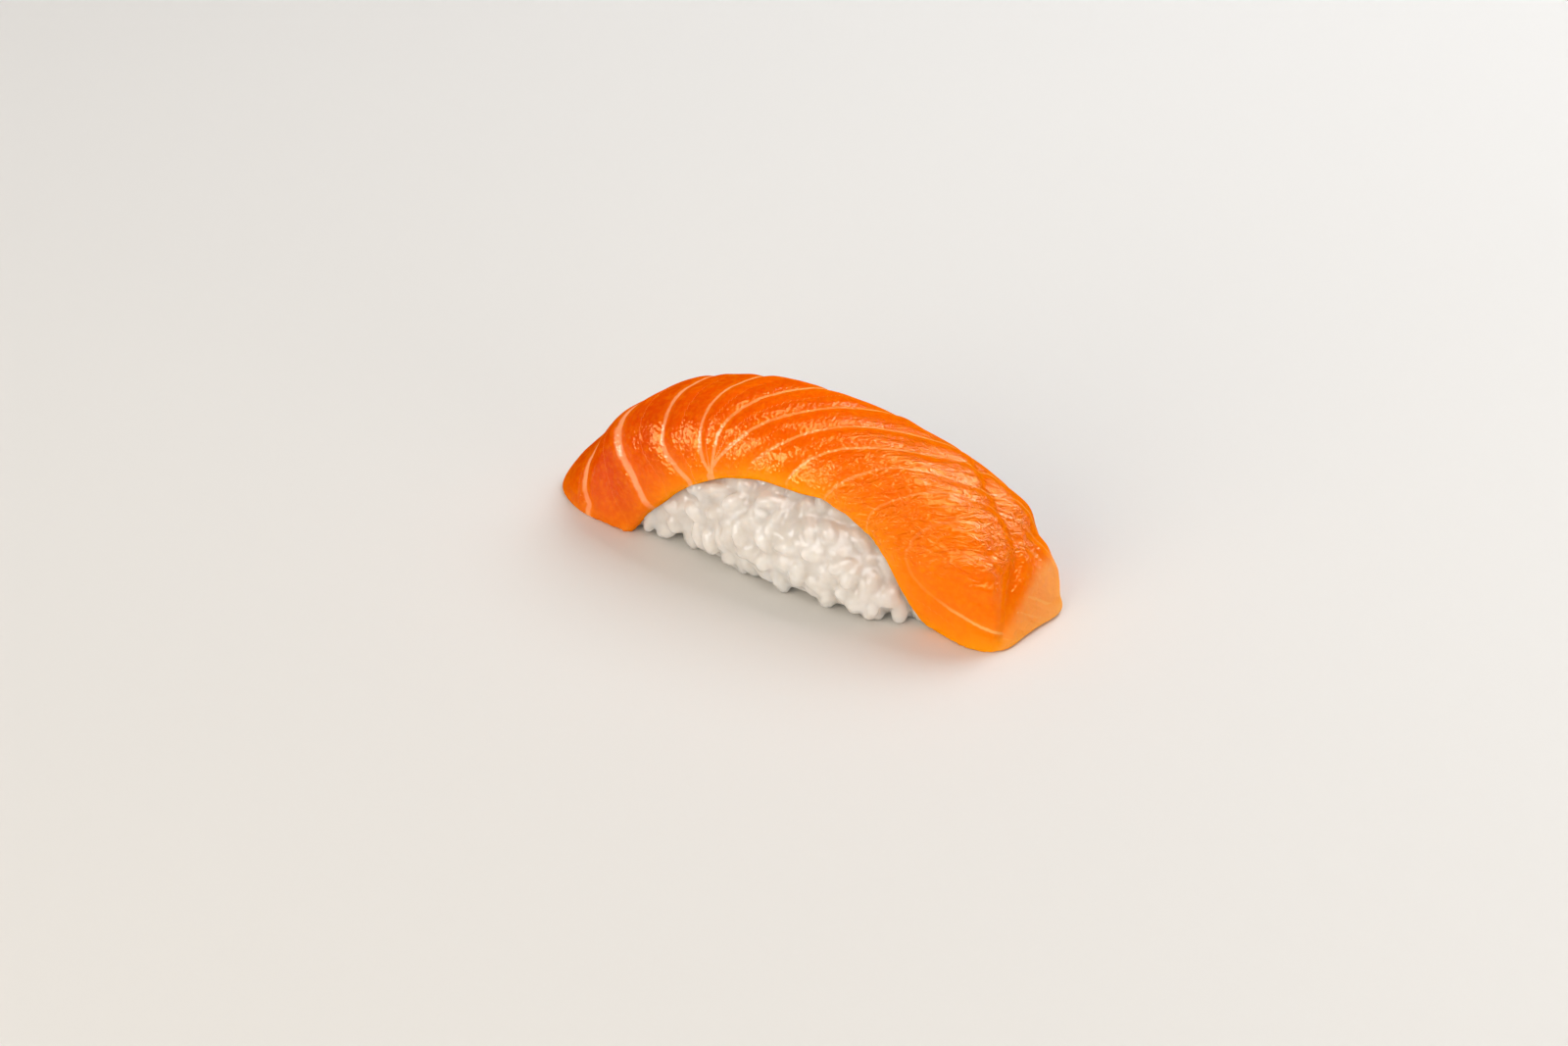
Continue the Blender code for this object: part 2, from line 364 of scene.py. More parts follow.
# %% [markdown]
# A knife leaves no straight edge on flesh this soft, so the cut edge waves up and down a little.
# The front foot of the blunt end was drawn in by the fingers that closed the slice round the
# rice, so it curves back toward the arch.

# %% Wave the cut edge and draw the foot in
EDGE_WAVE = 0.55 * MM
EDGE_WAVE_SIZE = 4.5 * MM
EDGE_WAVE_BAND = 2.5  # mm over which the wave dies out on the skin
FOOT_DRAWN_IN = 1.8 * MM
FOOT_MIDDLE = (31.0, -14.0, 0.5)  # mm
FOOT_SPREAD = (4.0, 4.0, 4.5)  # mm


def distance_to_rim(points):
    """Distance in mm to the slice's cut edge."""
    tree = kdtree.KDTree(len(rim_points))
    for index, point in enumerate(rim_points):
        tree.insert(point, index)
    tree.balance()
    return np.array([tree.find(point)[2] for point in points]) / MM


def drawn_in(points):
    away = (points / MM - FOOT_MIDDLE) / FOOT_SPREAD
    return FOOT_DRAWN_IN * np.exp(-(away**2).sum(axis=1))


rim_distance = distance_to_rim(skin)
fading = np.exp(-((rim_distance / EDGE_WAVE_BAND) ** 2))
wave = EDGE_WAVE * soft_noise(skin, EDGE_WAVE_SIZE) * fading
print("the edge waves by", round(float(np.ptp(wave)) / MM, 2), "mm")

# %% [markdown]
# Now the skin is moved, once, by all of these together. Flakes, presses and folds move only the
# outer side, and they fade out toward the table, because the slice has to stand there on both its
# ends. The table is met by letting the lowest few millimetres down.

# %% Move the skin
SKIN_DEPTH = 3 * MM  # the underside faces the spine and stays; this far out the move is full
GROUND_BAND = (0.2 * MM, 2.5 * MM)  # heights between which the move comes in
SETTLE_BAND = 4 * MM  # what is lower than this is let down onto the table


def normals_of(piece):
    flat = np.empty(len(piece.data.vertices) * 3)
    piece.data.vertices.foreach_get("normal", flat)
    return flat.reshape(-1, 3)


def move_points(piece, points):
    piece.data.vertices.foreach_set("co", points.ravel())
    piece.data.update()


spine = np.zeros_like(skin)
spine[:, 0] = np.clip(skin[:, 0], -LOAF_HALF, LOAF_HALF)
spine[:, 2] = SPINE_HEIGHT
normals = normals_of(slice_piece)
outward = ease((normals * (skin - spine)).sum(axis=1), 0, SKIN_DEPTH)
grounded = ease(skin[:, 2], *GROUND_BAND)
skin = skin + normals * ((swell + press + handled) * outward * grounded)[:, None]
skin[:, 2] += wave * grounded
skin[:, 1] += drawn_in(skin)
lift = skin[:, 2].min()
skin[:, 2] -= lift * (1 - ease(skin[:, 2], 0, SETTLE_BAND))
move_points(slice_piece, skin)
print("the slice stood", round(lift / MM, 2), "mm up and now rests on the table")

# %% [markdown]
# The finish has to know six things about each point: how far the nearest fat line is, how wide and how pale
# that line is, how near the cut edge is, where a painted yellow glow stands for the light that thin raw
# salmon lets through, whether the point is on the pale cut end, and how wrinkled the wet skin is there. They
# are stored on the mesh as attributes, which a material can read.

# %% Find the cut end and the wrinkled skin
# The cut end shows to the right of the fold, below this height at each place across, in mm.
CUT_END_ACROSS = (-12.0, -10.5, -9.2, -6.4, -4.3, -1.0, 5.5, 9.0)
CUT_END_TOP = (1.0, 3.3, 4.8, 5.9, 8.2, 10.3, 9.9, 6.0)
CUT_END_BLUR = (-1.0, 1.6)  # mm below that height, between which it comes in
CUT_END_START = (41.0, 43.0)  # mm along the slice, between which it comes in
CUT_END_LEAST = 0.6  # how pale it is in front; toward the back it turns fully pale
CUT_END_PALER = (-9.0, 2.0)  # mm across the slice, between which it does so
FOLD_START = (40.5, 42.0)  # mm along the slice, where the smooth skin beside the fold comes in
FOLD_TOP = (13.0, 16.0)  # mm up, where it ends
WRINKLE_START = (2.0, 22.0)  # mm along the slice, where wrinkles come in
WRINKLE_FOOT = (9.0, 15.0)  # mm up, where they come in

along, across, up = (skin / MM).T
cut_top = np.interp(across, CUT_END_ACROSS, CUT_END_TOP)
cut_face = ease(cut_top - up, *CUT_END_BLUR) * ease(along, *CUT_END_START)
cut_end = cut_face * (CUT_END_LEAST + (1 - CUT_END_LEAST) * ease(across, *CUT_END_PALER))
beside_fold = ease(along, *FOLD_START) * (1 - ease(up, *FOLD_TOP))
wrinkled = ease(along, *WRINKLE_START) * ease(up, *WRINKLE_FOOT) * (1 - cut_face) * (1 - beside_fold)
line_paleness = np.where(on_end_line, line_paleness, line_paleness * (1 - cut_face))
print("points on the cut end:", int((cut_end > 0.5).sum()))

# %% Store what the flesh needs to know
TRANSLUCENT_BAND = 2.8  # mm over which the cut edge's glow fades


def store(piece, name, values):
    attribute = piece.data.attributes.new(name, "FLOAT", "POINT")
    attribute.data.foreach_set("value", np.asarray(values, np.float32))


FLESH_FACTS = {
    "line_distance": from_line,
    "line_width": line_width,
    "line_paleness": line_paleness,
    "thin_edge": np.exp(-rim_distance / TRANSLUCENT_BAND),
    "cut_end": cut_end,
    "wrinkled": wrinkled,
}
for name, values in FLESH_FACTS.items():
    store(slice_piece, name, values)
print("stored on the slice:", ", ".join(FLESH_FACTS))

# %% [markdown]
# ## The finish of raw salmon
# Flesh is a deep orange. It is painted redder and darker toward the thin end and lighter toward the blunt
# end, partly the flesh's own tone and partly painted shade and painted light, since the lamps stand on the
# blunt end's side. Where the slice is thin, a painted yellow glow stands for the light it lets through.
# Light goes a few millimetres into it and comes out warmer, which is what subsurface scattering does.
# A material is a web of nodes, so first come short ways to add one, to rescale a number and to
# blend two colours. Each takes either a plain value or another node's output.


# %% A short way to wire material nodes
def new_material(name):
    material = bpy.data.materials.new(name)
    material.use_nodes = True
    return material, material.node_tree


def feed(tree, value, socket):
    """Link a node's output to this socket, or set the socket to a plain value."""
    if isinstance(value, bpy.types.NodeSocket):
        tree.links.new(value, socket)
    else:
        socket.default_value = value


def add(tree, kind, settings=None, **inputs):
    """Add a node of this kind, set its settings and feed its inputs."""
    made = tree.nodes.new(kind)
    for key, value in (settings or {}).items():
        setattr(made, key, value)
    for key, value in inputs.items():
        feed(tree, value, made.inputs[key.replace("_", " ")])
    return made


def maths(tree, how, *values):
    node = add(tree, "ShaderNodeMath", {"operation": how})
    for value, socket in zip(values, node.inputs):
        feed(tree, value, socket)
    return node.outputs[0]


def rescale(tree, value, low, high, to_low=0.0, to_high=1.0):
    node = add(tree, "ShaderNodeMapRange", {"interpolation_type": "SMOOTHSTEP"}, Value=value,
               From_Min=low, From_Max=high, To_Min=to_low, To_Max=to_high)
    return node.outputs["Result"]


def blend_colour(tree, share, first, second):
    node = add(tree, "ShaderNodeMix", {"data_type": "RGBA"})
    feed(tree, share, node.inputs[0])
    for colour, socket in zip((first, second), (node.inputs[6], node.inputs[7])):
        feed(tree, (*colour, 1) if isinstance(colour, tuple) else colour, socket)
    return node.outputs[2]


# %% Ways to read the mesh and to mottle
def attribute(tree, name):
    return add(tree, "ShaderNodeAttribute", {"attribute_name": name}).outputs["Fac"]


def own_coordinates(tree):
    return add(tree, "ShaderNodeTexCoord").outputs["Object"]


def mottle(tree, where, scale, detail=3.0):
    return add(tree, "ShaderNodeTexNoise", Vector=where, Scale=scale, Detail=detail).outputs["Fac"]


# %% [markdown]
# Over the flesh lies a film of water and oil. It is glossy, but the cut fibres under it break the
# highlight into fine sparkles, and toward the blunt end the film lies in long wet wrinkles. Both
# are far finer than the mesh, so a bump makes them.

# %% Make the skin's fine relief
# How fine a pattern is, is how many of its cells go into a metre.
GRIT_FINENESS = 1700.0
PATCH_FINENESS = 210.0
GRIT_RELIEF = 0.17 * MM
WRINKLE_SIZE = (1 / 300, 1 / 1000, 1 / 900)  # one wrinkle's length, breadth and height, in m
WRINKLE_TURN = (0.0, 0.0, math.radians(30))
WRINKLE_RELIEF = 0.30 * MM


def make_skin_relief(tree, where):
    """Fine grit in patches all over, and long wet wrinkles where the attribute says."""
    patch = rescale(tree, mottle(tree, where, PATCH_FINENESS), 0.38, 0.58, 0.60, 1.0)
    grit = maths(tree, "MULTIPLY", mottle(tree, where, GRIT_FINENESS, detail=0.5), patch)
    stretch = add(tree, "ShaderNodeMapping", {"vector_type": "TEXTURE"}, Vector=where,
                  Rotation=WRINKLE_TURN, Scale=WRINKLE_SIZE).outputs[0]
    wrinkle = add(tree, "ShaderNodeTexNoise", Vector=stretch, Scale=1.0, Detail=2.0, Distortion=0.9)
    wrinkle = rescale(tree, wrinkle.outputs["Fac"], 0.30, 0.70)
    wrinkle = maths(tree, "MULTIPLY", wrinkle, attribute(tree, "wrinkled"))
    fine = add(tree, "ShaderNodeBump", Height=grit, Strength=1.0, Distance=GRIT_RELIEF)
    coarse = add(tree, "ShaderNodeBump", Height=wrinkle, Strength=1.0, Distance=WRINKLE_RELIEF,
                 Normal=fine.outputs[0])
    return coarse.outputs[0]


# %% Colour the flesh
# The deep flesh colour is partly painted shade and the bright one partly painted light.
FLESH_DEEP_AND_SHADED = (0.66, 0.056, 0.0003)
FLESH_MIDDLE = (0.91, 0.112, 0.0003)
FLESH_BRIGHT_AND_LIT = (0.95, 0.166, 0.0004)
# This yellower orange is the painted glow of light through the thin edge, and it also tints the fibres.
FLESH_FIBRES_AND_GLOW = (1.00, 0.350, 0.004)
CUT_PALE = (1.00, 0.42, 0.115)
# Stretches along the slice, in m, over which a colour, the painted shade or the painted glow changes.
DEEP_TO_MIDDLE = (-0.030, 0.016)
MIDDLE_TO_BRIGHT = (0.012, 0.050)
LESS_PAINTED_SHADE = (-0.020, 0.020)
MORE_PAINTED_GLOW = (-0.035, -0.010)
CLOUD_FINENESS = 120.0
CLOUD_DRIFT = 0.030  # m by which soft clouds push the colours along
FIBRE_FINENESS = 900.0
PAINTED_SHADE_BY_LINE = (0.2, 3.2)  # mm from a line toward the blunt end, between which its shade fades
CUT_STRENGTH = 0.65


def colour_flesh(tree, where, along_slice):
    clouds = mottle(tree, where, CLOUD_FINENESS)
    drift = maths(tree, "MULTIPLY_ADD", clouds, CLOUD_DRIFT, along_slice)
    # painted shade and painted light: deep red at the thin end to lighter orange at the blunt end, partly
    # own tone, partly the lamps' fall from the blunt end's side
    flesh = blend_colour(tree, rescale(tree, drift, *DEEP_TO_MIDDLE), FLESH_DEEP_AND_SHADED, FLESH_MIDDLE)
    flesh = blend_colour(tree, rescale(tree, drift, *MIDDLE_TO_BRIGHT), flesh, FLESH_BRIGHT_AND_LIT)
    # painted shade: on the blunt end's side of each fat line the flesh is darkened toward the deep colour,
    # as the slope where a flake falls to its line, turned from the lamps
    painted_shade = rescale(tree, attribute(tree, "line_distance"), *PAINTED_SHADE_BY_LINE, 0.40, 0.0)
    painted_shade = maths(tree, "MULTIPLY", painted_shade, rescale(tree, along_slice, *LESS_PAINTED_SHADE, 1.0, 0.15))
    flesh = blend_colour(tree, painted_shade, flesh, FLESH_DEEP_AND_SHADED)
    # painted glow: near the cut edge the flesh turns yellower, standing for light that the thin slice lets
    # through
    painted_glow = rescale(tree, along_slice, *MORE_PAINTED_GLOW, 0.35, 1.0)
    painted_glow = maths(tree, "MULTIPLY", attribute(tree, "thin_edge"), painted_glow)
    flesh = blend_colour(tree, painted_glow, flesh, FLESH_FIBRES_AND_GLOW)
    fibres = mottle(tree, where, FIBRE_FINENESS, detail=4.0)
    flesh = blend_colour(tree, rescale(tree, fibres, 0.40, 0.75, 0.0, 0.18), flesh, FLESH_FIBRES_AND_GLOW)
    cut = maths(tree, "MULTIPLY", attribute(tree, "cut_end"), CUT_STRENGTH)
    return blend_colour(tree, cut, flesh, CUT_PALE)


# %% [markdown]
# A fat line has a pale core and, on both sides, a faint orange halo where fat and flesh mingle.
# Its edges wobble, and here and there it fades, so a noise moves the distance and another breaks
# the core.

# %% Draw the fat lines on the flesh
FAT_PINK = (1.00, 0.38, 0.17)
FAT_WARM = (1.00, 0.44, 0.11)
FAT_GLOW = (1.00, 0.24, 0.003)
PINK_TO_WARM = (-0.030, 0.010)  # m along the slice
WOBBLE_FINENESS = 700.0
LINE_WOBBLE = 0.5  # mm between a line's furthest swings
BREAK_FINENESS = 260.0
CORE_SHARES = (0.22, 0.62)  # shares of a line's width where its core starts and has faded
HALO_SHARE = 2.2
HALO_STRENGTH = 0.35


def share_of_fat(tree, where):
    """How much of a point is fat, and how much it is in a line's halo."""
    wobble = mottle(tree, where, WOBBLE_FINENESS)
    wobble = maths(tree, "MULTIPLY_ADD", wobble, LINE_WOBBLE, -LINE_WOBBLE / 2)
    distance = maths(tree, "ADD", attribute(tree, "line_distance"), wobble)
    distance = maths(tree, "ABSOLUTE", distance)
    width = attribute(tree, "line_width")
    inner, outer = (maths(tree, "MULTIPLY", width, share) for share in CORE_SHARES)
    core = rescale(tree, distance, inner, outer, 1.0, 0.0)
    broken = rescale(tree, mottle(tree, where, BREAK_FINENESS), 0.25, 0.6, 0.55, 1.0)
    fat = maths(tree, "MULTIPLY", core, broken)
    reach = maths(tree, "MULTIPLY", width, HALO_SHARE)
    halo = rescale(tree, distance, 0.0, reach, HALO_STRENGTH, 0.0)
    pale = attribute(tree, "line_paleness")
    return maths(tree, "MULTIPLY", fat, pale), maths(tree, "MULTIPLY", halo, pale)


def draw_fat(tree, flesh, fat, halo, along_slice):
    fat_colour = blend_colour(tree, rescale(tree, along_slice, *PINK_TO_WARM), FAT_PINK, FAT_WARM)
    return blend_colour(tree, fat, blend_colour(tree, halo, flesh, FAT_GLOW), fat_colour)


# %% [markdown]
# Wet flesh mirrors the lamps in its own orange, and fat mirrors them nearly white. At a glancing
# angle a glossy shader mirrors whatever is behind the food as a pale veil along the outline. A
# real slice hardly shows one, so the gloss is let down there.

# %% Make the salmon finish
FLESH_SHEEN = (1.0, 0.63, 0.18)
FAT_SHEEN = (1.0, 0.86, 0.80)
GLOSS_FACE_ON = 0.30
GLANCING_FADE = (0.15, 0.58)  # from nearly face on to well turned away
PLAIN_GLOSS = 0.25  # left on the socket for a program that can't follow the glancing nodes
FILM_FINENESS = 500.0
FILM_ROUGHNESS = (0.10, 0.18)


def make_salmon_finish():
    material, tree = new_material("raw_salmon")
    shader = tree.nodes["Principled BSDF"]
    where = own_coordinates(tree)
    along_slice = add(tree, "ShaderNodeSeparateXYZ", Vector=where).outputs["X"]
    fat, halo = share_of_fat(tree, where)
    flesh = colour_flesh(tree, where, along_slice)
    feed(tree, draw_fat(tree, flesh, fat, halo, along_slice), shader.inputs["Base Color"])
    rough = rescale(tree, mottle(tree, where, FILM_FINENESS), 0.3, 0.7, *FILM_ROUGHNESS)
    feed(tree, rough, shader.inputs["Roughness"])
    glancing = add(tree, "ShaderNodeLayerWeight", Blend=0.5).outputs["Facing"]
    gloss = rescale(tree, glancing, *GLANCING_FADE, GLOSS_FACE_ON, 0.0)
    shader.inputs["Specular IOR Level"].default_value = PLAIN_GLOSS
    feed(tree, gloss, shader.inputs["Specular IOR Level"])
    shader.inputs["Specular Tint"].default_value = (*FLESH_SHEEN, 1)
    feed(tree, blend_colour(tree, fat, FLESH_SHEEN, FAT_SHEEN), shader.inputs["Specular Tint"])
    shader.inputs["IOR"].default_value = 1.65
    shader.inputs["Subsurface Weight"].default_value = 0.35
    shader.inputs["Subsurface Radius"].default_value = (1.0, 0.30, 0.10)
    shader.inputs["Subsurface Scale"].default_value = 2.2 * MM
    feed(tree, make_skin_relief(tree, where), shader.inputs["Normal"])
    return material


select_only(slice_piece)
bpy.ops.object.shade_smooth()
slice_piece.data.materials.append(make_salmon_finish())
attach(slice_piece, "root")
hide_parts("salmon")
print("salmon slice done:", triangles_in(slice_piece), "triangles")

# %% [markdown]
# ## The loaf of rice
# Pressed sushi rice is hundreds of short grains that stick together: each is still seen, but
# where two touch, a starchy film fills the crease. First one grain is modelled, from a ball:
# stretched, flattened, and pulled to a blunter and a sharper end. A few kinds are made, because
# a heap of one shape looks stamped.

# %% Model the kinds of grain
GRAIN_LENGTH = 5.0 * MM
GRAIN_WIDTH = 2.8 * MM
GRAIN_HEIGHT = 2.6 * MM
# Length, width and height against the middle grain, and how far it bends, in mm.
GRAIN_KINDS = {
    "plain": (1.0, 1.0, 1.0, 0.15),
    "long": (1.12, 0.94, 0.95, 0.35),
    "stubby": (0.85, 1.08, 1.05, 0.05),
}
BLUNTER_END = (1, 0.95, 0.95)
SHARPER_END = (1, 0.82, 0.85)
WAIST = 0.01 * MM  # the middle ring, which both ends leave alone


def move_rings(grain, chosen, shift=(0, 0, 0), size=(1, 1, 1)):
    """Resize and move the points of a grain that a test on their place picks."""
    select_only(grain)
    bpy.ops.object.mode_set(mode="EDIT")
    bpy.ops.mesh.select_all(action="DESELECT")
    shape = bmesh.from_edit_mesh(grain.data)
    for vert in shape.verts:
        vert.select_set(chosen(vert.co))
    shape.select_flush(True)
    bmesh.update_edit_mesh(grain.data)
    bpy.ops.transform.resize(value=size, center_override=(0, 0, 0))
    bpy.ops.transform.translate(value=shift)
    leave_edit()


def model_grain(kind):
    length, width, height, bend = GRAIN_KINDS[kind]
    breadth = GRAIN_WIDTH * width
    pull = (GRAIN_LENGTH * length - breadth) / 2
    bpy.ops.object.select_all(action="DESELECT")
    bpy.ops.mesh.primitive_uv_sphere_add(segments=10, ring_count=6, radius=0.5, rotation=(0, math.pi / 2, 0))
    grain = bpy.context.object
    grain.name = "grain_" + kind
    bpy.ops.object.transform_apply(location=True, rotation=True, scale=True)
    move_rings(grain, lambda place: True, size=(breadth, breadth, GRAIN_HEIGHT * height))
    move_rings(grain, lambda place: place.x < -WAIST, shift=(-pull, 0, -bend * MM), size=BLUNTER_END)
    move_rings(grain, lambda place: place.x > WAIST, shift=(pull, 0, -bend * MM), size=SHARPER_END)
    return grain


grains = {kind: model_grain(kind) for kind in GRAIN_KINDS}
print("one grain:", {kind: len(grain.data.polygons) for kind, grain in grains.items()}, "faces")

# %% [markdown]
# Grains could be dropped by a physics simulation, but the loaf was pressed into shape, so here
# they are set into its surface: places are drawn at random over the frame's rice, a new one is
# kept only if no other is too near, and each grain lies along the surface with a random turn
# and a slight tilt. Only the bare rice gets them. Under the fish nobody sees them.

# %% Draw random places on the loaf
chance = np.random.RandomState(11)
rice_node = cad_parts["rice"]


def random_places(piece, count):
    """Points spread evenly over a mesh of triangles."""
    faces = [face.vertices[:3] for face in piece.data.polygons]
    corners = np.array([[piece.data.vertices[i].co[:] for i in face] for face in faces])
    crosses = np.cross(corners[:, 1] - corners[:, 0], corners[:, 2] - corners[:, 0])
    areas = np.linalg.norm(crosses, axis=1)
    picks = chance.choice(len(corners), size=count, p=areas / areas.sum())
    one, two = chance.rand(count), chance.rand(count)
    flip = one + two > 1
    one, two = np.where(flip, 1 - one, one), np.where(flip, 1 - two, two)
    spots = corners[picks, 0] + one[:, None] * (corners[picks, 1] - corners[picks, 0])
    return spots + two[:, None] * (corners[picks, 2] - corners[picks, 0])


print("faces of the loaf to draw on:", len(rice_node.data.polygons))

# %% Find what the fish hides
FISH_REACH = 8.0 * MM


def tree_of(piece):
    """A search tree of a mesh, for its nearest point or for what a ray meets."""
    corners = [vert.co[:] for vert in piece.data.vertices]
    return BVHTree.FromPolygons(corners, [face.vertices[:] for face in piece.data.polygons])


fish_tree = tree_of(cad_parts["salmon"])


def hidden_by_fish(spot, normal):
    """True where the slice lies both straight out from this place and level with it."""
    level = Vector((0, math.copysign(1, normal.y), 0))
    if abs(spot.x) > LOAF_HALF:
        level = Vector((math.copysign(1, normal.x), 0, 0))
    return all(fish_tree.ray_cast(spot, way, FISH_REACH)[0] is not None for way in (normal, level))


hidden = sum(hidden_by_fish(face.center, face.normal) for face in rice_node.data.polygons)
print("faces of the loaf that the fish hides:", hidden)

# %% Lay grains side by side
GRAIN_TRIES = 6000
GRAIN_TOUCH = 0.84  # how near two grains' backbones may lie, in grain widths
BACKBONE_POINTS = 5
LOAF_UNDERSIDE = -0.8  # a face whose normal points further down than this stands on the table
NO_NEIGHBOUR = np.full((1, 1), 1.0)  # the first grain has a metre to itself


def smoothed_normals(piece, spots):
    """The piece's normals at these places, evened out over the size of a grain."""
    tree = kdtree.KDTree(len(piece.data.polygons))
    for face in piece.data.polygons:
        tree.insert(face.center, face.index)
    tree.balance()
    evened = []
    for spot in spots:
        near = tree.find_range(spot, GRAIN_LENGTH)
        faces = [piece.data.polygons[index] for _, index, _ in near]
        evened.append(sum((face.normal * face.area for face in faces), Vector()).normalized())
    return evened


def choose_places():
    """Places and lies for one layer of grains, so that no two overlap much."""
    spots = random_places(rice_node, GRAIN_TRIES)
    reach = (GRAIN_LENGTH - GRAIN_WIDTH) / 2 * np.linspace(-1, 1, BACKBONE_POINTS)
    kept, taken = [], np.empty((0, 3))
    for spot, normal in zip(spots, smoothed_normals(rice_node, spots)):
        if normal[2] < LOAF_UNDERSIDE or hidden_by_fish(Vector(spot), normal):
            continue
        upright = normal.to_track_quat("Z", "Y").to_matrix().to_4x4()
        lie = upright @ Matrix.Rotation(chance.uniform(0, 2 * math.pi), 4, "Z")
        backbone = spot + reach[:, None] * np.array(lie.col[0][:3])
        gaps = np.linalg.norm(taken[None] - backbone[:, None], axis=2) if len(taken) else NO_NEIGHBOUR
        if gaps.min() < GRAIN_TOUCH * GRAIN_WIDTH:
            continue
        taken = np.concatenate([taken, backbone])
        kept.append((Vector(spot), normal, lie))
    return kept


# %% [markdown]
# Two layers are set, one a little deeper than the other, so that no gap shows the bare core. On a
# real piece the rice fills up to the fish, so just below the fish's edge both the grains and the
# core come forward.

# %% Set two layers of grains
LAYER_SINKS = (0.95 * MM, 1.4 * MM)  # how deep the grains' middles lie under the loaf's outline
FILL_BAND = 5.0 * MM  # below the fish's edge, grains come forward until they touch it
FILL_REACH = 1.6 * MM
GRAIN_TILT = 9  # degrees
GRAIN_SIZES = (0.92, 1.08)  # against the modelled grain
GRAIN_JITTER = 0.2  # mm up or down


def forward_at(spot):
    """How far a grain comes forward here to fill up under the fish's edge."""
    gap = fish_tree.find_nearest(spot)[3]
    return FILL_REACH * float(1 - ease(gap, 0.5 * FILL_BAND, FILL_BAND))


def grain_matrix(spot, normal, lie, sink):
    tilt = Matrix.Rotation(math.radians(chance.normal(0, GRAIN_TILT)), 4, "Y")
    size = Matrix.Scale(chance.uniform(*GRAIN_SIZES), 4)
    depth = sink - forward_at(spot) + chance.uniform(-GRAIN_JITTER, GRAIN_JITTER) * MM
    return Matrix.Translation(spot - normal * depth) @ lie @ tilt @ size


def set_grains():
    verts, faces = [], []
    kinds = sorted(grains)
    for sink in LAYER_SINKS:
        places = choose_places()
        print("grains", round(sink / MM, 1), "mm deep:", len(places))
        for spot, normal, lie in places:
            grain = grains[kinds[chance.randint(len(kinds))]]
            matrix = grain_matrix(spot, normal, lie, sink)
            base = len(verts)
            corners = [matrix @ vert.co for vert in grain.data.vertices]
            raise_by = max(0.0, -min(corner.z for corner in corners))
            verts += [(corner.x, corner.y, corner.z + raise_by) for corner in corners]
            faces += [[base + index for index in face.vertices] for face in grain.data.polygons]
    mesh = bpy.data.meshes.new("set_grains")
    mesh.from_pydata(verts, [], faces)
    piece = bpy.data.objects.new("set_grains", mesh)
    bpy.context.scene.collection.objects.link(piece)
    return piece


# %% Shrink a copy of the loaf to the core and set the grains
CORE_INSET = 0.75 * MM
FOOT_INSET = 0.9 * MM  # how much further the core stays in at the table, so that grains show there
FOOT_TOP = 4 * MM
FILL_BOTTOM = 1 * MM  # the core comes forward under the fish only above this height
CORE_BOTTOM = 0.3 * MM

loaf = copy_of_node("rice", "rice_loaf")
bare = points_of(loaf)
forward = np.array([forward_at(Vector(point)) for point in bare])
core_inset = CORE_INSET - forward * (bare[:, 2] > FILL_BOTTOM)
core_inset += FOOT_INSET * (1 - ease(bare[:, 2], 0, FOOT_TOP))
core_points = bare - normals_of(loaf) * core_inset[:, None]
core_points[:, 2] = np.maximum(core_points[:, 2], CORE_BOTTOM)
move_points(loaf, core_points)
grain_heap = set_grains()
print("all the grains:", triangles_in(grain_heap), "triangles")

# %% [markdown]
# Loose grains laid on a core would show a hard crack round each one. In pressed rice the starch
# closes those cracks, so core and grains are joined and remeshed into one skin with a very small
# voxel, and a light smoothing then rounds the creases as the film of starch does.

# %% Fuse the grains into one sticky loaf
VOXEL = 0.33 * MM
select_only(loaf, grain_heap)
bpy.ops.object.join()
apply_modifier(loaf, "REMESH", mode="VOXEL", voxel_size=VOXEL)
apply_modifier(loaf, "SMOOTH", factor=0.5, iterations=6)
for grain in grains.values():
    bpy.data.objects.remove(grain)
print("rice loaf:", triangles_in(loaf), "triangles")

# %% Store how deep each point lies in its crease
outline_tree = tree_of(rice_node)
loaf_points = [Vector(point) for point in points_of(loaf)]
outline = [outline_tree.find_nearest(point) for point in loaf_points]
inside = [(point - place).dot(normal) < 0 for point, (place, normal, _, _) in zip(loaf_points, outline)]
depth = np.array([gap for _, _, _, gap in outline]) / MM * np.array(inside)
store(loaf, "crease_depth", depth)
print("deepest crease in mm:", round(float(depth.max()), 2))

# %% [markdown]
# ## The finish of cooked rice
# A cooked grain is milky: light goes in, scatters and comes out almost white, and its surface is moist. The
# creases between grains are painted a little darker and warmer, as painted shade where less light reaches
# into them.

# %% Make the rice finish
GRAIN_WHITE = (0.72, 0.71, 0.71)
GRAIN_CLEAR = (0.66, 0.64, 0.625)
# The crease colour is painted shade, laid on by how deep a point lies in its crease.
CREASE_PAINTED_SHADE = (0.67, 0.62, 0.56)
PAINTED_SHADE_DEPTHS = (0.8, 2.6)  # mm where the crease's colour starts and is full
MILK_FINENESS = 330.0
MOIST_FINENESS = 800.0
MOIST_ROUGHNESS = (0.12, 0.26)
STARCH_FINENESS = 1300.0
STARCH_RELIEF = 0.10 * MM


